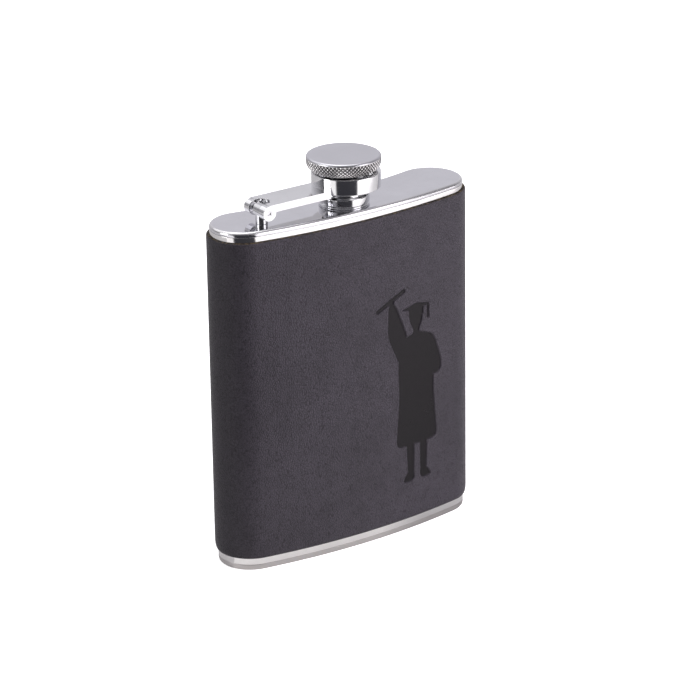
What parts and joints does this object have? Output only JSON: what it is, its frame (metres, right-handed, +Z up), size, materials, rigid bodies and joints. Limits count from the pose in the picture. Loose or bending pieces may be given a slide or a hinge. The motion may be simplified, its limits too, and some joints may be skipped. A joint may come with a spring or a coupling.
{
  "type": "hip flask",
  "caption": "Curved pocket flask of thin steel in a leather wrap, with a narrow threaded mouth and a knurled screw cap held captive on a hinged arm.",
  "frame": {"origin": "in the plane the base rests on, directly under the axis of the threaded neck", "axes": "+Z up along the neck, +X along the flask's width away from the hinge, -Y out of the bowed front face"},
  "size_m": [0.095, 0.027, 0.13],
  "materials": {
    "polished_steel": "mirror polished stainless steel",
    "satin_steel": "satin stainless steel, knurled round the cap's rim",
    "seal": "matt white food-safe rubber",
    "leather": "fine-grained black leather, semi-matt, with one pressed figure"
  },
  "bodies": {
    "flask": {"body_shell": "polished_steel", "top_plate": "polished_steel", "base_plate": "satin_steel", "neck": "polished_steel", "hinge_lug": "polished_steel", "leather_wrap": "leather"},
    "arm": {"cap_arm": "polished_steel", "arm_collar": "polished_steel", "hinge_pin": "satin_steel"},
    "cap": {"cap_head": "satin_steel", "cap_sleeve": "polished_steel", "cap_seal": "seal"}
  },
  "joints": [
    {"name": "arm_hinge", "type": "hinge", "parent": "flask", "child": "arm", "pos_m": [-0.0318, 0, 0.1182], "axis": [0, -1, 0], "range_deg": [0, 180]},
    {"name": "cap_spin", "type": "hinge", "parent": "arm", "child": "cap", "pos_m": [0, 0, 0.1182], "axis": [0, 0, 1], "continuous": true}
  ]
}
